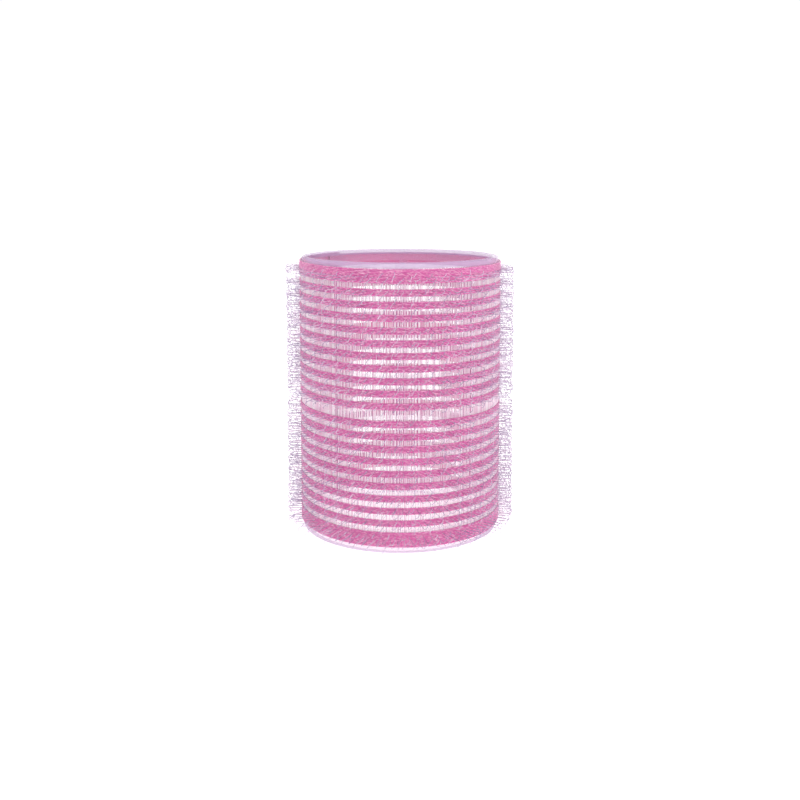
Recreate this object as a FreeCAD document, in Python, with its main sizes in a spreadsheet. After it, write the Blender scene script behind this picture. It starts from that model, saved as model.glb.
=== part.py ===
import FreeCAD, Part
import math
import os

import Sketcher
from FreeCAD import Placement, Rotation, Vector

# Self-grip hair roller, 44 mm size: a clear moulded lattice core wrapped once in a woven
# hook tape. The tape is made of pink warp bands that run round the roller, clear weft
# picks that cross them from edge to edge, and clear monofilament hooks that stand out of
# every band. Its two ends lap over each other at the seam.
#
# Frame: millimetres, +Z along the roller's axis, origin at the centre of the lower rim,
# -Y is the front. Angles are measured from +X, anticlockwise seen from above.

DIMENSIONS = [
    # alias, value, what it is
    ("core_length", 60.0, "length of the moulded core"),
    ("core_radius_out", 21.6, "outer radius of the core"),
    ("core_wall", 1.3, "wall of the core at its rims"),
    ("lattice_wall", 1.1, "wall of the hoops and ribs, which stand back inside the rims"),
    ("rim_low_height", 4.6, "solid rim at the lower end of the core"),
    ("rim_high_height", 2.8, "solid rim at the upper end of the core"),
    ("rim_round", 0.4, "rounding of the rim edges"),
    ("hoop_count", 6, "hoops between the rows of windows"),
    ("hoop_height", 2.2, "height of a hoop"),
    ("hoop_pitch", 8.13, "distance from one hoop to the next"),
    ("rib_width", 2.0, "width of an upright rib between two windows"),
    ("rib_count", 8, "ribs round the core"),
    ("rib_angle", -2.0, "direction of the first rib"),
    ("window_round", 0.6, "corner radius of a window"),
    ("tape_low", 1.4, "lower edge of the tape above the core's lower end"),
    ("tape_thickness", 0.5, "tape, picks and bands together"),
    ("selvedge_low_width", 3.2, "solid woven edge at the bottom of the tape"),
    ("selvedge_high_width", 2.9, "solid woven edge at the top of the tape"),
    ("band_width", 1.46, "width of one pink warp band"),
    ("band_gap", 1.12, "open space between two bands"),
    ("centre_gap", 2.21, "wider open space between the two halves of the tape"),
    ("band_thickness", 0.28, "thickness of a warp band"),
    ("bands_below", 9, "bands below the centre gap"),
    ("bands_above", 10, "bands above the centre gap"),
    ("seam_angle", 139.0, "direction of the tape's inner end"),
    ("lap_angle", 9.0, "how far the outer end laps over the inner end"),
    ("ramp_angle", 10.0, "how far the tape takes to climb on to its inner end"),
    ("glue_film", 0.06, "adhesive between the lapped ends"),
    ("glue_margin", 0.3, "adhesive kept back from the tape's long edges"),
    ("glue_margin_angle", 0.6, "adhesive kept back from the tape's two ends"),
    ("pick_radius", 0.1, "radius of a clear weft pick"),
    ("picks_per_turn", 432, "weft picks in one turn of the tape"),
    ("first_pick", 0.3, "first pick past the tape's inner end, as a share of their spacing"),
    ("pick_gap", 0.01, "air between a pick and the faces beside it"),
    ("hook_radius", 0.1, "radius of the hook monofilament"),
    ("hook_stem", 2.5, "straight stem of a hook"),
    ("hook_bend", 0.55, "centreline radius of a hook's crook"),
    ("hook_sweep", 165.0, "angle that the crook turns through"),
    ("hooks_per_line", 54, "hooks in one line round the roller"),
]

FULL_TURN = 360.0
OUTPUT_FOLDER = "parts"

doc = FreeCAD.newDocument("hair_roller")


# Driving dimensions

sheet = doc.addObject("Spreadsheet::Sheet", "dims")
for row, (alias, value, meaning) in enumerate(DIMENSIONS, start=1):
    sheet.set(f"A{row}", alias)
    sheet.set(f"B{row}", str(value))
    sheet.set(f"C{row}", meaning)
    sheet.setAlias(f"B{row}", alias)
doc.recompute()


def dim(alias):
    """The value of one cell of the sheet."""
    return float(sheet.get(alias))


def total(**counts):
    """A sum of dimensions, such as total(band_width=2, band_gap=1): its value and its rule."""
    value = sum(count * dim(alias) for alias, count in counts.items())
    rule = " + ".join(f"({count}) * dims.{alias}" for alias, count in counts.items())
    return value, rule


def origin_plane(body, role):
    return next(o for o in body.Origin.OriginFeatures if o.Role == role)


def add_sketch(body, name, role):
    """A sketch on one of the body's own origin planes."""
    sketch = body.newObject("Sketcher::SketchObject", name)
    sketch.AttachmentSupport = (origin_plane(body, role), [""])
    sketch.MapMode = "FlatFace"
    return sketch


def bind(sketch, name, constraint, rule):
    """Adds a named constraint whose value follows the sheet."""
    index = sketch.addConstraint(constraint)
    sketch.renameConstraint(index, name)
    sketch.setExpression(f"Constraints.{name}", rule)


def join_ends(sketch, first, first_end, second, second_end):
    sketch.addConstraint(Sketcher.Constraint("Coincident", first, first_end, second, second_end))


def polar(radius, degrees):
    angle = math.radians(degrees)
    return Vector(radius * math.cos(angle), radius * math.sin(angle), 0)


START, END, CENTRE = 1, 2, 3  # point numbers that the sketcher uses
ORIGIN_POINT = (-1, 1)


# Core: one clear injection moulding, a tube with rows of windows between upright ribs


def add_wall_section(body):
    """Right half of the tube's section, which steps back between its rims, beside the axis."""
    sketch = add_sketch(body, "wall_section", "XZ_Plane")
    inner, inner_rule = total(core_radius_out=1, core_wall=-1)
    recess, recess_rule = total(core_radius_out=1, lattice_wall=-1)
    outer, outer_rule = total(core_radius_out=1)
    step_low, step_low_rule = total(rim_low_height=1)
    step_high, step_high_rule = total(core_length=1, rim_high_height=-1)
    top, top_rule = total(core_length=1)
    corners = [
        Vector(inner, 0),
        Vector(outer, 0),
        Vector(outer, top),
        Vector(inner, top),
        Vector(inner, step_high),
        Vector(recess, step_high),
        Vector(recess, step_low),
        Vector(inner, step_low),
    ]
    sides = len(corners)
    for i in range(sides):
        sketch.addGeometry(Part.LineSegment(corners[i], corners[(i + 1) % sides]))
    for i in range(sides):
        join_ends(sketch, i, END, (i + 1) % sides, START)
        way = "Vertical" if i % 2 else "Horizontal"
        sketch.addConstraint(Sketcher.Constraint(way, i))
    sketch.addConstraint(Sketcher.Constraint("PointOnObject", 0, START, -1))
    radii = (
        ("inner_radius", 0, inner, inner_rule),
        ("outer_radius", 1, outer, outer_rule),
        ("upper_inner_radius", 3, inner, inner_rule),
        ("recess_radius", 5, recess, recess_rule),
    )
    for name, side, radius, rule in radii:
        across = Sketcher.Constraint("DistanceX", *ORIGIN_POINT, side, START, radius)
        bind(sketch, name, across, rule)
    heights = (
        ("length", 2, top, top_rule),
        ("upper_step", 4, step_high, step_high_rule),
        ("lower_step", 6, step_low, step_low_rule),
    )
    for name, side, height, rule in heights:
        upright = Sketcher.Constraint("DistanceY", *ORIGIN_POINT, side, START, height)
        bind(sketch, name, upright, rule)
    return sketch


def window_rows():
    """Lower and upper edge of each row of windows, from the bottom up."""
    hoops = int(dim("hoop_count"))
    rows = []
    for i in range(hoops):
        low = total(rim_low_height=1, hoop_pitch=i)
        high = total(rim_low_height=1, hoop_pitch=i + 1, hoop_height=-1)
        rows.append((low, high))
    low = total(rim_low_height=1, hoop_pitch=hoops)
    high = total(core_length=1, rim_high_height=-1)
    rows.append((low, high))
    return rows


def add_window(sketch, name, low, high):
    """One window with round corners: four sides and four corner arcs, about the V axis."""
    width = 2 * math.pi * dim("core_radius_out") / dim("rib_count") - dim("rib_width")
    width_rule = "2 * pi * dims.core_radius_out / dims.rib_count - dims.rib_width"
    half = width / 2
    bottom, bottom_rule = low
    top, top_rule = high
    corner = dim("window_round")
    first = len(sketch.Geometry)
    sides = [
        (Vector(-half + corner, bottom), Vector(half - corner, bottom)),
        (Vector(half, bottom + corner), Vector(half, top - corner)),
        (Vector(half - corner, top), Vector(-half + corner, top)),
        (Vector(-half, top - corner), Vector(-half, bottom + corner)),
    ]
    for start, end in sides:
        sketch.addGeometry(Part.LineSegment(start, end))
    centres = [
        Vector(half - corner, bottom + corner),
        Vector(half - corner, top - corner),
        Vector(-half + corner, top - corner),
        Vector(-half + corner, bottom + corner),
    ]
    for i, centre in enumerate(centres):
        start = math.radians(90 * (i - 1))
        circle = Part.Circle(centre, Vector(0, 0, 1), corner)
        sketch.addGeometry(Part.ArcOfCircle(circle, start, start + math.pi / 2))
    for i in range(4):
        arc = first + 4 + i
        sketch.addConstraint(Sketcher.Constraint("Tangent", first + i, END, arc, START))
        sketch.addConstraint(Sketcher.Constraint("Tangent", arc, END, first + (i + 1) % 4, START))
    sketch.addConstraint(Sketcher.Constraint("Vertical", first + 1))
    sketch.addConstraint(Sketcher.Constraint("Horizontal", first + 2))
    sketch.addConstraint(Sketcher.Constraint("Vertical", first + 3))
    for arc in (first + 5, first + 6, first + 7):
        sketch.addConstraint(Sketcher.Constraint("Equal", first + 4, arc))
    sketch.addConstraint(Sketcher.Constraint("Symmetric", first, START, first, END, -2))
    radius = Sketcher.Constraint("Radius", first + 4, corner)
    bind(sketch, f"{name}_corner", radius, "dims.window_round")
    across = Sketcher.Constraint("DistanceX", first + 3, START, first + 1, START, width)
    bind(sketch, f"{name}_width", across, width_rule)
    bottom_edge = Sketcher.Constraint("DistanceY", *ORIGIN_POINT, first, START, bottom)
    bind(sketch, f"{name}_bottom", bottom_edge, bottom_rule)
    top_edge = Sketcher.Constraint("DistanceY", *ORIGIN_POINT, first + 2, START, top)
    bind(sketch, f"{name}_top", top_edge, top_rule)


def make_core():
    body = doc.addObject("PartDesign::Body", "core_tube")
    body.Label = "core_tube"
    wall = body.newObject("PartDesign::Revolution", "wall")
    wall.Profile = add_wall_section(body)
    wall.ReferenceAxis = (wall.Profile[0], ["V_Axis"])
    wall.Angle = FULL_TURN
    doc.recompute()

    rims = body.newObject("PartDesign::Fillet", "rounded_rims")
    ends = (0, dim("core_length"))
    circles = [
        f"Edge{i}"
        for i, edge in enumerate(wall.Shape.Edges, start=1)
        if isinstance(edge.Curve, Part.Circle) and round(edge.Curve.Center.z, 3) in ends
    ]
    rims.Base = (wall, circles)
    rims.setExpression("Radius", "dims.rim_round")
    doc.recompute()

    column = add_sketch(body, "window_column", "XZ_Plane")
    for i, (low, high) in enumerate(window_rows(), start=1):
        add_window(column, f"window_{i}", low, high)
    doc.recompute()
    cut = body.newObject("PartDesign::Pocket", "one_column_of_windows")
    cut.Profile = column
    cut.Type = "Length"
    cut.setExpression("Length", "dims.core_radius_out + 1")
    doc.recompute()

    ribs = body.newObject("PartDesign::PolarPattern", "windows_all_round")
    ribs.Originals = [cut]
    ribs.Axis = (column, ["V_Axis"])
    ribs.Angle = FULL_TURN
    ribs.setExpression("Occurrences", "dims.rib_count")
    body.Tip = ribs
    doc.recompute()
    # The pocket opens a window towards -Y or +Y, so the ribs lie half a pitch beside it.
    turn = dim("rib_angle") - 90 - FULL_TURN / dim("rib_count") / 2
    body.Placement = Placement(Vector(0, 0, 0), Rotation(Vector(0, 0, 1), turn))
    if cut.Shape.Volume > rims.Shape.Volume - 1:
        raise RuntimeError("the windows cut nothing out of the core")
    return body


# Tape: every band has the same plan, a strip wrapped once round the core whose outer
# end climbs a ramp and laps over its inner end



def add_strip_plan(body):
    """Plan of the wrapped strip: two long arcs, the ramp, the lap, and two square ends."""
    sketch = add_sketch(body, "strip_plan", "XY_Plane")
    inner = total(core_radius_out=1, tape_thickness=1, band_thickness=-1)
    outer = total(core_radius_out=1, tape_thickness=1)
    lap_inner = total(core_radius_out=1, tape_thickness=2, band_thickness=-1, glue_film=1)
    lap_outer = total(core_radius_out=1, tape_thickness=2, glue_film=1)
    seam, seam_rule = total(seam_angle=1)
    foot, foot_rule = total(seam_angle=1, ramp_angle=1)
    tail, tail_rule = total(seam_angle=1, lap_angle=-1)

    def add_arc(size, low, high, name):
        circle = Part.Circle(Vector(0, 0, 0), Vector(0, 0, 1), size[0])
        arc = Part.ArcOfCircle(circle, math.radians(low), math.radians(high))
        index = sketch.addGeometry(arc)
        join_ends(sketch, index, CENTRE, *ORIGIN_POINT)
        bind(sketch, name, Sketcher.Constraint("Radius", index, size[0]), size[1])
        return index

    def add_line(start, end, from_end, to_end):
        index = sketch.addGeometry(Part.LineSegment(start, end))
        join_ends(sketch, index, START, *from_end)
        join_ends(sketch, index, END, *to_end)

    arcs = {
        "wrap_in": add_arc(inner, foot - FULL_TURN, seam, "inner_radius"),
        "wrap_out": add_arc(outer, foot - FULL_TURN, seam, "outer_radius"),
        "lap_in": add_arc(lap_inner, tail, seam, "lap_inner_radius"),
        "lap_out": add_arc(lap_outer, tail, seam, "lap_outer_radius"),
    }
    for wrap, lap, near, far in (
        ("wrap_in", "lap_in", inner[0], lap_inner[0]),
        ("wrap_out", "lap_out", outer[0], lap_outer[0]),
    ):
        add_line(polar(near, foot), polar(far, seam), (arcs[wrap], START), (arcs[lap], END))
    inner_end = (arcs["wrap_in"], END), (arcs["wrap_out"], END)
    add_line(polar(inner[0], seam), polar(outer[0], seam), *inner_end)
    outer_end = (arcs["lap_in"], START), (arcs["lap_out"], START)
    add_line(polar(lap_inner[0], tail), polar(lap_outer[0], tail), *outer_end)

    # Three rays from the centre carry the angles. Each ends on the outermost corner there.
    rays = (
        (seam, seam_rule, "lap_out", END, (("wrap_in", END), ("wrap_out", END), ("lap_in", END))),
        (tail, tail_rule, "lap_out", START, (("lap_in", START),)),
        (foot, foot_rule, "wrap_out", START, (("wrap_in", START),)),
    )
    for number, (angle, rule, arc, end, corners) in enumerate(rays, start=1):
        ray = sketch.addGeometry(Part.LineSegment(Vector(0, 0, 0), polar(outer[0], angle)), True)
        join_ends(sketch, ray, START, *ORIGIN_POINT)
        join_ends(sketch, ray, END, arcs[arc], end)
        for corner, corner_end in corners:
            on_ray = Sketcher.Constraint("PointOnObject", arcs[corner], corner_end, ray)
            sketch.addConstraint(on_ray)
        turn = Sketcher.Constraint("Angle", -1, START, ray, START, math.radians(angle))
        bind(sketch, f"ray_{number}", turn, f"({rule}) * 1 deg")
    return sketch


def make_band(label, low, width):
    """One warp band, standing at the height low."""
    body = doc.addObject("PartDesign::Body", label)
    body.Label = label
    pad = body.newObject("PartDesign::Pad", "strip")
    pad.Profile = add_strip_plan(body)
    pad.setExpression("Length", width[1])
    body.setExpression("Placement.Base.z", low[1])
    return body


def band_layout():
    """Name, lower edge, width and hook lines of every band, from the bottom up."""
    below, above = int(dim("bands_below")), int(dim("bands_above"))
    layout = [("selvedge_bottom", total(tape_low=1), total(selvedge_low_width=1), (0.25, 0.75))]
    for i in range(below + above):
        low = total(
            tape_low=1,
            selvedge_low_width=1,
            band_width=i,
            band_gap=i + 1 if i < below else i,
            centre_gap=0 if i < below else 1,
        )
        layout.append((f"warp_band_{i + 1:02d}", low, total(band_width=1), (0.5,)))
    low = total(
        tape_low=1,
        selvedge_low_width=1,
        band_width=below + above,
        band_gap=below + above,
        centre_gap=1,
    )
    layout.append(("selvedge_top", low, total(selvedge_high_width=1), (0.25,)))
    return layout


def strip_radius(radius, angle):
    """Where the tape's outermost layer has the line that lies at radius on the first layer."""
    step = dim("tape_thickness") + dim("glue_film")
    seam, foot = dim("seam_angle"), dim("seam_angle") + dim("ramp_angle")
    if seam - dim("lap_angle") <= angle <= seam:
        return radius + step
    if seam < angle < foot:
        low, high = polar(radius, foot), polar(radius + step, seam)
        return low.cross(high).z / polar(1, angle).cross(high - low).z
    return radius


# Weft picks: clear monofilament that crosses all the bands behind their inner faces


def make_weft_picks(tape_top):
    first_circle = dim("core_radius_out") + dim("pick_gap") + dim("pick_radius")
    spacing = FULL_TURN / dim("picks_per_turn")
    height = tape_top - dim("tape_low")
    pick = Part.makeCylinder(dim("pick_radius"), height, Vector(0, 0, dim("tape_low")))
    copies = []
    for i in range(int((FULL_TURN + dim("lap_angle")) / spacing)):
        past_inner_end = (i + dim("first_pick")) * spacing
        angle = dim("seam_angle") - past_inner_end
        climbing = past_inner_end > FULL_TURN - dim("ramp_angle")
        radius = strip_radius(first_circle, angle + FULL_TURN) if climbing else first_circle
        copy = pick.copy()
        copy.translate(polar(radius, angle))
        copies.append(copy)
    picks = doc.addObject("Part::Feature", "weft_picks")
    picks.Label = "weft_picks"
    picks.Shape = Part.makeCompound(copies)
    return picks


# Hooks: short crooks of clear monofilament that stand out of every band


def add_wire_section(body, name):
    """The monofilament's round section, square to the hook's stem."""
    sketch = add_sketch(body, name, "YZ_Plane")
    wire = sketch.addGeometry(Part.Circle(Vector(0, 0), Vector(0, 0, 1), dim("hook_radius")))
    join_ends(sketch, wire, CENTRE, *ORIGIN_POINT)
    radius = Sketcher.Constraint("Radius", wire, dim("hook_radius"))
    bind(sketch, "radius", radius, "dims.hook_radius")
    return sketch


def make_pattern_hook():
    """One hook, standing along +X from its foot at the origin, its crook turned to +Z."""
    body = doc.addObject("PartDesign::Body", "pattern_hook")
    body.Label = "pattern_hook"
    stem = body.newObject("PartDesign::Pad", "stem")
    stem.Profile = add_wire_section(body, "stem_section")
    stem.setExpression("Length", "dims.hook_stem")
    doc.recompute()

    section = add_wire_section(body, "crook_section")
    section.setExpression("AttachmentOffset.Base.z", "dims.hook_stem")
    across, bend = dim("hook_bend"), dim("hook_bend")
    pivot = section.addGeometry(Part.LineSegment(Vector(0, bend), Vector(across, bend)), True)
    section.addConstraint(Sketcher.Constraint("Horizontal", pivot))
    section.addConstraint(Sketcher.Constraint("PointOnObject", pivot, START, -2))
    length = Sketcher.Constraint("DistanceX", pivot, START, pivot, END, across)
    bind(section, "pivot_length", length, "dims.hook_bend")
    height = Sketcher.Constraint("DistanceY", *ORIGIN_POINT, pivot, START, bend)
    bind(section, "pivot_height", height, "dims.hook_bend")
    crook = body.newObject("PartDesign::Revolution", "crook")
    crook.Profile = section
    crook.ReferenceAxis = (section, ["Axis0"])
    crook.setExpression("Angle", "dims.hook_sweep * 1 deg")
    crook.Reversed = True
    doc.recompute()
    if crook.Shape.BoundBox.XMax < dim("hook_stem") + dim("hook_bend"):
        raise RuntimeError("the hook's crook turns back on its stem")
    return body


def make_hook_row(label, hook, low, width, lines):
    """The hooks of one band, in one or two lines, crooked up and down by turns."""
    face = dim("core_radius_out") + dim("tape_thickness")
    count = int(dim("hooks_per_line"))
    copies = []
    for line, share in enumerate(lines):
        for i in range(count):
            angle = (i + line / 2) * FULL_TURN / count
            height = low[0] + share * width[0]
            foot = polar(strip_radius(face, angle), angle) + Vector(0, 0, height)
            over = Rotation(Vector(1, 0, 0), (i % 2) * FULL_TURN / 2)
            turn = Rotation(Vector(0, 0, 1), angle)
            copy = hook.Shape.Solids[0].copy()
            copy.Placement = Placement(foot, turn.multiply(over))
            copies.append(copy)
    row = doc.addObject("Part::Feature", label)
    row.Label = label
    row.Shape = Part.makeCompound(copies)
    return row


# Adhesive film between the lapped ends of the tape


def make_lap_adhesive(tape_top):
    inner = dim("core_radius_out") + dim("tape_thickness")
    height = tape_top - dim("tape_low") - 2 * dim("glue_margin")
    base = Vector(0, 0, dim("tape_low") + dim("glue_margin"))
    upward = Vector(0, 0, 1)
    span = dim("lap_angle") - 2 * dim("glue_margin_angle")
    outside = Part.makeCylinder(inner + dim("glue_film"), height, base, upward, span)
    inside = Part.makeCylinder(inner, height, base, upward, span)
    film = doc.addObject("Part::Feature", "lap_adhesive")
    film.Label = "lap_adhesive"
    film.Shape = outside.cut(inside)
    start = dim("seam_angle") - dim("lap_angle") + dim("glue_margin_angle")
    film.Placement = Placement(Vector(0, 0, 0), Rotation(upward, start))
    return film


core = make_core()
layout = band_layout()
bands = [make_band(name, low, width) for name, low, width, lines in layout]
pattern_hook = make_pattern_hook()
doc.recompute()
hook_rows = [
    make_hook_row(name.replace("warp_band", "band") + "_hooks", pattern_hook, low, width, lines)
    for name, low, width, lines in layout
]
top_low, top_width = layout[-1][1:3]
tape_top = top_low[0] + top_width[0]
weft_picks = make_weft_picks(tape_top)
lap_adhesive = make_lap_adhesive(tape_top)
doc.recompute()

for each in doc.Objects:
    if "Invalid" in each.State or "Error" in each.State:
        raise RuntimeError(f"{each.Label} failed: {each.State}")

os.makedirs(OUTPUT_FOLDER, exist_ok=True)
for part in [core, *bands, weft_picks, *hook_rows, lap_adhesive]:
    if part.Shape.isNull() or not part.Shape.isValid():
        raise RuntimeError(f"{part.Label} has no valid shape")
    part.Shape.exportStep(os.path.join(OUTPUT_FOLDER, f"{part.Label}.step"))
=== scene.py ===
# A self-grip hair roller standing on its end: a clear moulded lattice tube, wrapped once in a
# woven tape of pink bands and clear cross threads, with clear hooks standing out all round.
import math
import random

import bmesh
import bpy
from mathutils import Matrix, Vector, noise


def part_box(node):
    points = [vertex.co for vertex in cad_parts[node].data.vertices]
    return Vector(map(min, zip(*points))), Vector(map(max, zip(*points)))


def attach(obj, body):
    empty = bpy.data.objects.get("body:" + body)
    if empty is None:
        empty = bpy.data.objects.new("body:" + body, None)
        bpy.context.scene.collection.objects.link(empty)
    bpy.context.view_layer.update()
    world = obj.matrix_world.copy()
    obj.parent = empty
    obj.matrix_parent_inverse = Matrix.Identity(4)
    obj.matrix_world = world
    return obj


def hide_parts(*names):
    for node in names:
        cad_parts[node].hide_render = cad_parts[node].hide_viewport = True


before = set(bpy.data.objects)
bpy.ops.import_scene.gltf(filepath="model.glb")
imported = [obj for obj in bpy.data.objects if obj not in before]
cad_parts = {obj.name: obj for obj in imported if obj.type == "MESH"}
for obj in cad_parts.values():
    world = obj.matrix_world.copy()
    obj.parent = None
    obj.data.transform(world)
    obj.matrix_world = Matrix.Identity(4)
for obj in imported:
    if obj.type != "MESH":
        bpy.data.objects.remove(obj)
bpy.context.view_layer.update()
MM = 0.001
ROOT = "root"


# ---- Core tube ----
# The tube is one injection moulding in natural polypropylene: two rims, six hoops and eight
# upright ribs. The tape is wound on to it straight from the mould, so its edges stay rounded.

CORE_EDGE_ROUND = 0.12 * MM
CORE_EDGE_STEPS = 2
CORE_SHARP_ANGLE = math.radians(40)
RIM_LIP = 1.2 * MM
FOOT_EDGE = 0.2 * MM
WELD = 0.002 * MM
FLAT_ANGLE = math.radians(0.5)
FLOW_RIPPLE = 2.5 * MM
FLOW_RIPPLE_DEPTH = 0.02 * MM
WALL_TINT = "#ece0f7"
WALL_DENSITY = 0.14
# The rim tint is partly painted shade: the same plastic made darker and greyer at the thick
# rounded rims.
RIM_SHADED_TINT = "#cab4d6"
RIM_DENSITY = 0.5


def linear(hex_colour):
    """An sRGB hex colour as linear RGBA."""
    channels = [int(hex_colour[i : i + 2], 16) / 255 for i in (1, 3, 5)]
    bent = [c / 12.92 if c <= 0.04045 else ((c + 0.055) / 1.055) ** 2.4 for c in channels]
    return (*bent, 1.0)


def add_node(tree, kind, settings=(), inputs=()):
    """A shader node with its settings and with its inputs set or linked."""
    node = tree.nodes.new(kind)
    for name, value in dict(settings).items():
        setattr(node, name, value)
    for name, value in dict(inputs).items():
        if isinstance(value, bpy.types.NodeSocket):
            tree.links.new(value, node.inputs[name])
        else:
            node.inputs[name].default_value = value
    return node


def start_material(name):
    """An empty material and its node tree."""
    material = bpy.data.materials.new(name)
    material.use_nodes = True
    material.node_tree.nodes.clear()
    return material, material.node_tree


def close_material(tree, **inputs):
    """Puts the surface shader on the output. Underscores in names stand for spaces."""
    named = {name.replace("_", " "): value for name, value in inputs.items()}
    shader = add_node(tree, "ShaderNodeBsdfPrincipled", {}, named)
    add_node(tree, "ShaderNodeOutputMaterial", {}, {"Surface": shader.outputs["BSDF"]})


def make_natural_polypropylene(name, tint, density):
    """Unpigmented polypropylene from a polished mould: clear but milky, with a cool cast,
    soft highlights and faint flow ripples that wander along the wall."""
    material, tree = start_material(name)
    place = add_node(tree, "ShaderNodeTexCoord")
    ripples = add_node(
        tree,
        "ShaderNodeTexNoise",
        {},
        {"Vector": place.outputs["Object"], "Scale": 1 / FLOW_RIPPLE, "Detail": 2.0},
    )
    bump = add_node(
        tree,
        "ShaderNodeBump",
        {},
        {"Height": ripples.outputs["Fac"], "Distance": FLOW_RIPPLE_DEPTH, "Strength": 0.5},
    )
    dull = add_node(
        tree,
        "ShaderNodeMapRange",
        {},
        {"Value": ripples.outputs["Fac"], "To Min": 0.16, "To Max": 0.30},
    )
    close_material(
        tree,
        Base_Color=linear(tint),
        Roughness=dull.outputs["Result"],
        IOR=1.49,
        Alpha=density,
        Normal=bump.outputs["Normal"],
    )
    return material


def finish_piece(name, bm, material, replaced):
    """Turns a bmesh into a smooth piece that rides on the roller."""
    mesh = bpy.data.meshes.new(name)
    bm.to_mesh(mesh)
    bm.free()
    mesh.shade_smooth()
    mesh.materials.append(material)
    piece = bpy.data.objects.new(name, mesh)
    bpy.context.scene.collection.objects.link(piece)
    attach(piece, ROOT)
    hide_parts(*replaced)
    return piece


def make_core():
    """The moulding. Its rims get a darker, denser copy of the plastic than the thin wall between
    them: partly for the thicker plastic there, partly painted shade where their rounded edges bend
    the light away."""
    bm = bmesh.new()
    bm.from_mesh(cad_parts["core_tube"].data)
    bmesh.ops.remove_doubles(bm, verts=bm.verts, dist=WELD)
    bmesh.ops.dissolve_limit(
        bm, angle_limit=FLAT_ANGLE, verts=bm.verts, edges=bm.edges, delimit={"NORMAL"}
    )
    foot, lip = FOOT_EDGE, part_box("core_tube")[1].z - RIM_LIP
    for height in (foot, lip):
        bmesh.ops.bisect_plane(
            bm, geom=[*bm.verts, *bm.edges, *bm.faces], plane_co=(0, 0, height), plane_no=(0, 0, 1)
        )
    for face in bm.faces:
        face.material_index = 0 if foot < face.calc_center_median().z < lip else 1
    wall = make_natural_polypropylene("natural_polypropylene_wall", WALL_TINT, WALL_DENSITY)
    rim = make_natural_polypropylene("natural_polypropylene_rim_shaded", RIM_SHADED_TINT, RIM_DENSITY)
    core = finish_piece("lattice_core", bm, wall, ["core_tube"])
    core.data.materials.append(rim)
    bevel = core.modifiers.new("moulded_edges", "BEVEL")
    bevel.width = CORE_EDGE_ROUND
    bevel.segments = CORE_EDGE_STEPS
    bevel.limit_method = "ANGLE"
    bevel.angle_limit = CORE_SHARP_ANGLE
    bevel.harden_normals = True
    return core


make_core()


# ---- Warp bands and selvedges ----
# Each band is a bundle of pink nylon yarns that runs round the roller, woven tight over and
# under the clear cross threads. The tape goes once round, and its outer end climbs on to its
# inner end at the back left, a little high, where the winder let go of it.

YARN_WIDTH = 0.29 * MM
YARN_RELIEF = 0.07 * MM
WEAVE_LIFT = 0.035 * MM
PICKS_PER_TURN = 432
FRONT_CUTS = 4
BACK_CUTS = 2
BAND_WAVE = 9 * MM
BAND_WAVER = 0.05 * MM
BAND_CLEARANCE = 0.03 * MM
DULL_YARNS = 3
# Inside the tube every yarn gets painted light: a flat, lighter pink, since little light reaches
# there.
INSIDE_PAINTED_LIGHT = 0.3
PAINTED_LIGHT_STRENGTH = 0.9
DYE_PATCH = 7 * MM
FILAMENT = 0.12 * MM
FILAMENT_DEPTH = 0.03 * MM
# Furrow and crown pinks are painted shade: the furrows between yarns are painted darker than the
# crowns.
FURROW_SHADE_PINK = "#8c2364"
CROWN_LIT_PINK = "#d85fa6"
# A painted glint: the pale pink put on crowns where a filament bundle would catch the light.
PAINTED_LIGHT_PINK = "#f9d9ea"
FULL_TURN = 2 * math.pi
START_RISE = 0.35 * MM
START_RISE_GONE = math.radians(200)
START_RISE_FROM = START_RISE_GONE / 3
END_RISE = 0.7 * MM
END_RISE_FROM = math.radians(225)
RAMP = math.radians(10)


def node_points(node):
    return [v.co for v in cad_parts[node].data.vertices]


def radius_range(node):
    """Least and greatest distance of a node's corners from the axis."""
    radii = [v.xy.length for v in node_points(node)]
    return min(radii), max(radii)


film_angles = [math.atan2(p.y, p.x) for p in node_points("lap_adhesive")]
FILM_MARGIN = math.radians(0.6)
SEAM = max(film_angles) + FILM_MARGIN
LAP = SEAM - min(film_angles) + FILM_MARGIN
film_inner, film_outer = radius_range("lap_adhesive")
core_outer = radius_range("core_tube")[1]
BAND_OUTER = film_inner
BAND_INNER = core_outer + BAND_CLEARANCE
TAPE_STEP = film_outer - core_outer
WRAP = FULL_TURN + LAP


def smooth_share(value, low, high):
    """How far a value is from low to high, from 0 to 1, with a soft start and end."""
    share = min(max((value - low) / (high - low), 0.0), 1.0)
    return share * share * (3 - 2 * share)


def lift_at(past):
    """How far the tape stands off its first layer at an angle past its inner end."""
    return TAPE_STEP * smooth_share(past, FULL_TURN - RAMP, FULL_TURN)


def rise_at(past):
    """How far the tape has crept upwards at an angle past its inner end."""
    start = START_RISE * (1 - smooth_share(past, START_RISE_FROM, START_RISE_GONE))
    return start + END_RISE * smooth_share(past, END_RISE_FROM, WRAP)


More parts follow.
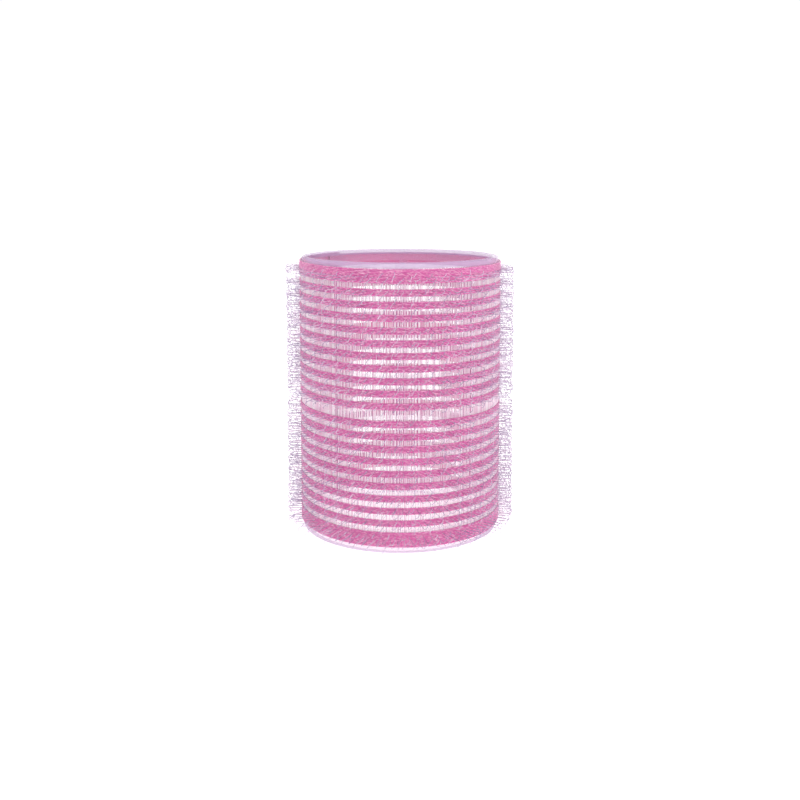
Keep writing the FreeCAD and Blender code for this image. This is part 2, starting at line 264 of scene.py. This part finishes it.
def make_pink_nylon_yarn():
    """Spun-dyed nylon multifilament, woven hard. Painted shade makes it deep pink in the furrows
    between yarns and paler on their crowns, and a pale painted glint falls where a filament bundle
    would catch the light."""
    material, tree = start_material("pink_nylon_yarn")
    place = add_node(tree, "ShaderNodeTexCoord")
    crown = add_node(tree, "ShaderNodeAttribute", {"attribute_name": "crown"})
    painted_light = add_node(tree, "ShaderNodeAttribute", {"attribute_name": "painted_light"})
    dye = add_node(
        tree,
        "ShaderNodeMix",
        {"data_type": "RGBA"},
        {"Factor": crown.outputs["Fac"], "A": linear(FURROW_SHADE_PINK), "B": linear(CROWN_LIT_PINK)},
    )
    patches = add_node(
        tree,
        "ShaderNodeTexNoise",
        {},
        {"Vector": place.outputs["Object"], "Scale": 1 / DYE_PATCH, "Detail": 1.0},
    )
    tone = add_node(
        tree,
        "ShaderNodeMapRange",
        {},
        {
            "Value": patches.outputs["Fac"],
            "From Min": 0.3,
            "From Max": 0.7,
            "To Min": 0.9,
            "To Max": 1.06,
        },
    )
    toned = add_node(
        tree,
        "ShaderNodeHueSaturation",
        {},
        {"Color": dye.outputs["Result"], "Value": tone.outputs["Result"]},
    )
    painted_light_share = add_node(
        tree,
        "ShaderNodeMath",
        {"operation": "MULTIPLY"},
        {0: painted_light.outputs["Fac"], 1: PAINTED_LIGHT_STRENGTH},
    )
    lightened = add_node(
        tree,
        "ShaderNodeMix",
        {"data_type": "RGBA"},
        {"Factor": painted_light_share.outputs[0], "A": toned.outputs["Color"], "B": linear(PAINTED_LIGHT_PINK)},
    )
    filaments = add_node(
        tree,
        "ShaderNodeTexNoise",
        {},
        {"Vector": place.outputs["Object"], "Scale": 1 / FILAMENT, "Detail": 2.0},
    )
    bump = add_node(
        tree,
        "ShaderNodeBump",
        {},
        {"Height": filaments.outputs["Fac"], "Distance": FILAMENT_DEPTH, "Strength": 0.6},
    )
    close_material(
        tree,
        Base_Color=lightened.outputs["Result"],
        Roughness=0.62,
        IOR=1.53,
        Sheen_Weight=0.35,
        Sheen_Roughness=0.4,
        Sheen_Tint=linear("#ffe3f1"),
        Subsurface_Weight=0.5,
        Subsurface_Radius=(1.0, 0.5, 0.8),
        Subsurface_Scale=0.6 * MM,
        Normal=bump.outputs["Normal"],
    )
    return material


def make_band(name, node, material, draw):
    """A strip of yarns side by side, each crowned outside and flatter inside. It starts as a
    flat grid, its length along X and its section round Y, and is wrapped on to the core."""
    low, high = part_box(node)
    width = high.z - low.z
    yarns = max(round(width / YARN_WIDTH), 1)
    around = yarns * (FRONT_CUTS + BACK_CUTS)
    steps = round(WRAP / FULL_TURN * PICKS_PER_TURN)
    bm = bmesh.new()
    bmesh.ops.create_grid(bm, x_segments=steps, y_segments=around, size=0.5)
    crown_layer = bm.verts.layers.float.new("crown")
    painted_light_layer = bm.verts.layers.float.new("painted_light")
    for vert in bm.verts:
        step = round((vert.co.x + 0.5) * steps)
        cut = round((vert.co.y + 0.5) * around) % around
        outside = cut <= yarns * FRONT_CUTS
        spot = cut / FRONT_CUTS if outside else (around - cut) / BACK_CUTS
        yarn = min(int(spot), yarns - 1)
        bulge = math.sin(math.pi * (spot - yarn))
        over = 1.0 if (step + yarn) % 2 else -1.0
        # Each yarn's share of painted glint, mostly dull.
        shine = draw.random() ** DULL_YARNS
        if outside:
            radius = BAND_OUTER - YARN_RELIEF * (1 - bulge)
        else:
            radius = BAND_INNER + YARN_RELIEF / 2 * (1 - bulge)
        past = WRAP * step / steps
        radius += WEAVE_LIFT * over * bulge + lift_at(past)
        angle = SEAM - past
        height = low.z + width * spot / yarns + rise_at(past)
        place = Vector((math.cos(angle) * radius, math.sin(angle) * radius, height))
        place.z += noise.noise(place / BAND_WAVE) * BAND_WAVER
        vert.co = place
        # Outside: painted shade in the furrows and a painted glint on some crowns. Inside: crown
        # colour all over, lightened as painted light.
        vert[crown_layer] = bulge if outside else 1.0
        vert[painted_light_layer] = bulge * shine if outside else INSIDE_PAINTED_LIGHT
    bmesh.ops.remove_doubles(bm, verts=bm.verts, dist=WELD)
    bmesh.ops.holes_fill(bm, edges=[e for e in bm.edges if e.is_boundary], sides=0)
    bmesh.ops.recalc_face_normals(bm, faces=bm.faces)
    return finish_piece(name, bm, material, [node])


pink_yarn = make_pink_nylon_yarn()
band_nodes = sorted(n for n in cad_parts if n.startswith("warp_band"))
tape_nodes = ["selvedge_bottom", *band_nodes, "selvedge_top"]
shine_draw = random.Random(3)
tape_pieces = [
    make_band(f"woven_{node}", node, pink_yarn, shine_draw) for node in tape_nodes
]


# ---- Weft picks ----
# Clear nylon monofilament goes to and fro across the tape behind the yarns, and shows in every
# gap between two bands as a fine ladder. It is drawn, not spun, so it is smooth and glassy.

PICK_SIDES = 6
PICK_SPANS = 5
PICK_WAVER = 0.05 * MM
PICK_RADIUS = 0.1 * MM
PICK_LEAN = 0.0012
FIRST_PICK = 0.3
PICK_CLEARNESS = 0.22


def make_clear_monofilament(name, light, reflection_and_shade_tint, clearness):
    """Drawn nylon monofilament, water-clear and glossy. Its colours are painted light: some
    threads are painted pale, as if passing the white light, others carry a painted reflection and
    shade of what lies beside them, picked at random so no two neighbours look alike."""
    material, tree = start_material(name)
    # Per thread, a random pick between the painted pale light and the painted reflection and
    # shade.
    tone = add_node(tree, "ShaderNodeAttribute", {"attribute_name": "tone"})
    cast = add_node(
        tree,
        "ShaderNodeMix",
        {"data_type": "RGBA"},
        {"Factor": tone.outputs["Fac"], "A": linear(light), "B": linear(reflection_and_shade_tint)},
    )
    close_material(
        tree,
        Base_Color=cast.outputs["Result"],
        Roughness=0.2,
        IOR=1.53,
        Alpha=1 - clearness,
    )
    return material


def add_thread(bm, pattern, place, tone):
    """Adds a placed copy of a thread, which keeps a tone of its own."""
    copy = pattern.copy()
    copy.transform(place)
    tones = copy.attributes.new("tone", "FLOAT", "POINT")
    tones.data.foreach_set("value", [tone] * len(copy.vertices))
    bm.from_mesh(copy)
    bpy.data.meshes.remove(copy)


tape_low, tape_high = (corner.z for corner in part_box("weft_picks"))


def make_picks():
    """The clear cross threads, one beside another along the whole tape."""
    middle = (BAND_INNER + BAND_OUTER) / 2
    pattern = bmesh.new()
    ring = bmesh.ops.create_circle(pattern, segments=PICK_SIDES, radius=PICK_RADIUS)["verts"]
    edges = {e for v in ring for e in v.link_edges}
    for i in range(PICK_SPANS):
        made = bmesh.ops.extrude_edge_only(pattern, edges=list(edges))["geom"]
        edges = {g for g in made if isinstance(g, bmesh.types.BMEdge) and len(g.link_faces) == 1}
        moved = [g for g in made if isinstance(g, bmesh.types.BMVert)]
        bmesh.ops.translate(
            pattern, verts=moved, vec=(0, 0, (tape_high - tape_low) / PICK_SPANS)
        )
    bmesh.ops.holes_fill(pattern, edges=[e for e in pattern.edges if e.is_boundary], sides=0)
    bmesh.ops.recalc_face_normals(pattern, faces=pattern.faces)
    one_pick = bpy.data.meshes.new("one_pick")
    pattern.to_mesh(one_pick)
    pattern.free()
    bm = bmesh.new()
    draw = random.Random(11)
    spacing = FULL_TURN / PICKS_PER_TURN
    for i in range(int(WRAP / spacing)):
        past = (i + FIRST_PICK) * spacing
        angle = SEAM - past + draw.gauss(0, PICK_WAVER) / middle
        reach = middle + lift_at(past)
        height = tape_low + rise_at(past)
        foot = Vector((math.cos(angle) * reach, math.sin(angle) * reach, height))
        lean = Matrix.Rotation(draw.gauss(0, PICK_LEAN), 4, Vector((foot.x, foot.y, 0)))
        add_thread(bm, one_pick, Matrix.Translation(foot) @ lean, draw.random())
    bpy.data.meshes.remove(one_pick)
    # Picks: pale painted light, and a pink painted reflection of the yarns round them.
    nylon = make_clear_monofilament(
        "clear_weft_monofilament", "#fffafd", "#eec4dc", PICK_CLEARNESS
    )
    return finish_piece("weft_ladder", bm, nylon, ["weft_picks"])


ladder = make_picks()


# ---- Hooks ----
# A second clear monofilament is woven into every band as loops, which are set hard with heat
# and cut open on one side. That leaves hooks that lean and turn a little differently each.

HOOK_WIRE = 0.06 * MM
HOOK_SIDES = 5
CROOK_STEPS = 6
CROOK_RADIUS = 0.6 * MM
CROOK_SWEEP = math.radians(170)
HOOK_REACH = 3.1 * MM
HOOK_SLANT = math.radians(36)
HOOK_SLANT_SPREAD = math.radians(11)
HOOK_YAW_SPREAD = math.radians(4)
HOOK_PITCH_SPREAD = math.radians(3)
HOOK_LENGTHS = (0.92, 1.04)
HOOK_SINK = 0.05 * MM
HOOK_STRAY = 0.25
HOOKS_PER_LINE = 96
HOOK_CLEARNESS = 0.36
MIDDLE_LINES = (0.3, 0.7)
EDGE_LINES = {"selvedge_bottom": (0.25, 0.5, 0.75), "selvedge_top": (0.2, 0.45)}


def make_hook_pattern():
    """One hook along +X from its foot, its crook turned over towards +Z."""
    pattern = bmesh.new()
    ring = bmesh.ops.create_circle(pattern, segments=HOOK_SIDES, radius=HOOK_WIRE)["verts"]
    bmesh.ops.rotate(pattern, verts=ring, matrix=Matrix.Rotation(math.pi / 2, 3, "Y"))
    stem = HOOK_REACH - CROOK_RADIUS - HOOK_WIRE
    made = bmesh.ops.extrude_edge_only(pattern, edges=pattern.edges[:])["geom"]
    moved = [g for g in made if isinstance(g, bmesh.types.BMVert)]
    bmesh.ops.translate(pattern, verts=moved, vec=(stem, 0, 0))
    free = {g for g in made if isinstance(g, bmesh.types.BMEdge) and len(g.link_faces) == 1}
    bmesh.ops.spin(
        pattern,
        geom=moved + list(free),
        cent=(stem, 0, CROOK_RADIUS),
        axis=(0, -1, 0),
        angle=CROOK_SWEEP,
        steps=CROOK_STEPS,
    )
    bmesh.ops.holes_fill(pattern, edges=[e for e in pattern.edges if e.is_boundary], sides=0)
    bmesh.ops.recalc_face_normals(pattern, faces=pattern.faces)
    mesh = bpy.data.meshes.new("one_hook")
    pattern.to_mesh(mesh)
    pattern.free()
    return mesh


def make_hooks(name, node, band, lines, pattern, material, draw):
    """The hooks of one band, in lines at shares of its width. Every other hook turns over."""
    low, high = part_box(band)
    bm = bmesh.new()
    for line, share in enumerate(lines):
        for i in range(HOOKS_PER_LINE):
            spot = i + line / len(lines) + HOOK_STRAY * draw.random()
            past = spot / HOOKS_PER_LINE * FULL_TURN
            angle = SEAM - past
            on_lap = past if past > LAP else past + FULL_TURN
            reach = BAND_OUTER - HOOK_SINK + lift_at(on_lap)
            height = low.z + share * (high.z - low.z) + rise_at(on_lap)
            foot = Vector((math.cos(angle) * reach, math.sin(angle) * reach, height))
            over = math.pi * ((i + line) % 2)
            slant = -HOOK_SLANT + draw.gauss(0, HOOK_SLANT_SPREAD)
            yaw = Matrix.Rotation(draw.gauss(0, HOOK_YAW_SPREAD), 4, "Z")
            pitch = Matrix.Rotation(draw.gauss(0, HOOK_PITCH_SPREAD), 4, "Y")
            length = Matrix.Scale(draw.uniform(*HOOK_LENGTHS), 4, (1, 0, 0))
            turn = Matrix.Rotation(angle, 4, "Z") @ Matrix.Rotation(over + slant, 4, "X")
            place = Matrix.Translation(foot) @ turn @ yaw @ pitch @ length
            add_thread(bm, pattern, place, draw.random())
    return finish_piece(name, bm, material, [node])


hook_pattern = make_hook_pattern()
# Hooks: pale painted light, and a lilac-grey painted shade and reflection at their refracting
# edges.
hook_nylon = make_clear_monofilament(
    "clear_hook_monofilament", "#efe2f3", "#a396b8", HOOK_CLEARNESS
)
hook_draw = random.Random(5)
for band in tape_nodes:
    hook_node = band.replace("warp_band", "band") + "_hooks"
    lines = EDGE_LINES.get(band, MIDDLE_LINES)
    tape_pieces.append(
        make_hooks(f"cut_{hook_node}", hook_node, band, lines, hook_pattern, hook_nylon, hook_draw)
    )
bpy.data.meshes.remove(hook_pattern)


# ---- Lap adhesive ----
# A thin film of clear hot-melt holds the outer end of the tape on its inner end. It is pressed
# flat while it is warm, so it is even and glossy, and it takes the pink of the yarn round it.

CLOUD_SIZE = 1.5 * MM


def make_hot_melt():
    """Hot-melt adhesive, pressed to a film: glassy and slightly cloudy."""
    material, tree = start_material("pressed_hot_melt")
    place = add_node(tree, "ShaderNodeTexCoord")
    cloud = add_node(
        tree,
        "ShaderNodeTexNoise",
        {},
        {"Vector": place.outputs["Object"], "Scale": 1 / CLOUD_SIZE, "Detail": 2.0},
    )
    tint = add_node(
        tree,
        "ShaderNodeMix",
        {"data_type": "RGBA"},
        {"Factor": cloud.outputs["Fac"], "A": linear("#efe3ea"), "B": linear("#e6d2df")},
    )
    close_material(
        tree, Base_Color=tint.outputs["Result"], Roughness=0.3, IOR=1.48, Alpha=0.35
    )
    return material


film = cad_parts["lap_adhesive"]
film.data.materials.clear()
film.data.materials.append(make_hot_melt())


# ---- Floor, light and camera ----
# The roller stands on a frosted white light table under a large soft box, with white cards
# all round it, so nearly every shadow is filled.

TABLE_SIZE = 3.0
TABLE_GAP = 0.02 * MM
MID_HEIGHT = 30 * MM
ROOM_BRIGHTNESS = 1.02
CAMERA_BACK = 227.7 * MM
CAMERA_HEIGHT = 76.6 * MM
CAMERA_PITCH = math.radians(6.0)
CAMERA_LENS = 46.6
SENSOR = 36.0
CAMERA_SHIFT = -0.14


def make_frosted_table():
    """Opal acrylic lit from below: plain white, with no texture of its own."""
    material, tree = start_material("opal_light_table")
    close_material(
        tree,
        Base_Color=linear("#f4f3f4"),
        Roughness=0.8,
        Emission_Color=linear("#ffffff"),
        Emission_Strength=0.6,
    )
    return material


bm = bmesh.new()
bmesh.ops.create_grid(bm, x_segments=1, y_segments=1, size=TABLE_SIZE / 2)
table_mesh = bpy.data.meshes.new("light_table")
bm.to_mesh(table_mesh)
bm.free()
table_mesh.materials.append(make_frosted_table())
table = bpy.data.objects.new("light_table", table_mesh)
table.location.z = -TABLE_GAP
bpy.context.scene.collection.objects.link(table)


def add_soft_box(name, place, size, power, colour):
    """A square soft box that points at the middle of the roller."""
    light = bpy.data.lights.new(name, "AREA")
    light.shape = "SQUARE"
    light.size = size
    light.energy = power
    light.color = linear(colour)[:3]
    lamp = bpy.data.objects.new(name, light)
    lamp.location = place
    aim = Vector((0, 0, MID_HEIGHT)) - Vector(place)
    lamp.rotation_euler = aim.to_track_quat("-Z", "Y").to_euler()
    bpy.context.scene.collection.objects.link(lamp)


add_soft_box("key_right", (0.35, -0.45, 0.45), 0.4, 0.8, "#fffdfa")
add_soft_box("fill_left", (-0.5, -0.35, 0.25), 0.4, 0.15, "#f7f8ff")
add_soft_box("top_back", (0.0, 0.3, 0.6), 0.5, 0.5, "#ffffff")

world = bpy.data.worlds.new("white_room")
world.use_nodes = True
sky = world.node_tree.nodes["Background"]
sky.inputs["Color"].default_value = linear("#ffffff")
sky.inputs["Strength"].default_value = ROOM_BRIGHTNESS
scene = bpy.context.scene
scene.world = world
scene.view_settings.view_transform = "Standard"
scene.cycles.transparent_max_bounces = 48
scene.cycles.max_bounces = 16

camera_data = bpy.data.cameras.new("camera")
camera_data.sensor_width = SENSOR
camera_data.lens = CAMERA_LENS
camera_data.shift_y = CAMERA_SHIFT
camera_data.clip_start = 10 * MM
camera = bpy.data.objects.new("camera", camera_data)
camera.location = (0, -CAMERA_BACK, CAMERA_HEIGHT)
camera.rotation_euler = (math.pi / 2 - CAMERA_PITCH, 0, 0)
scene.collection.objects.link(camera)
scene.camera = camera
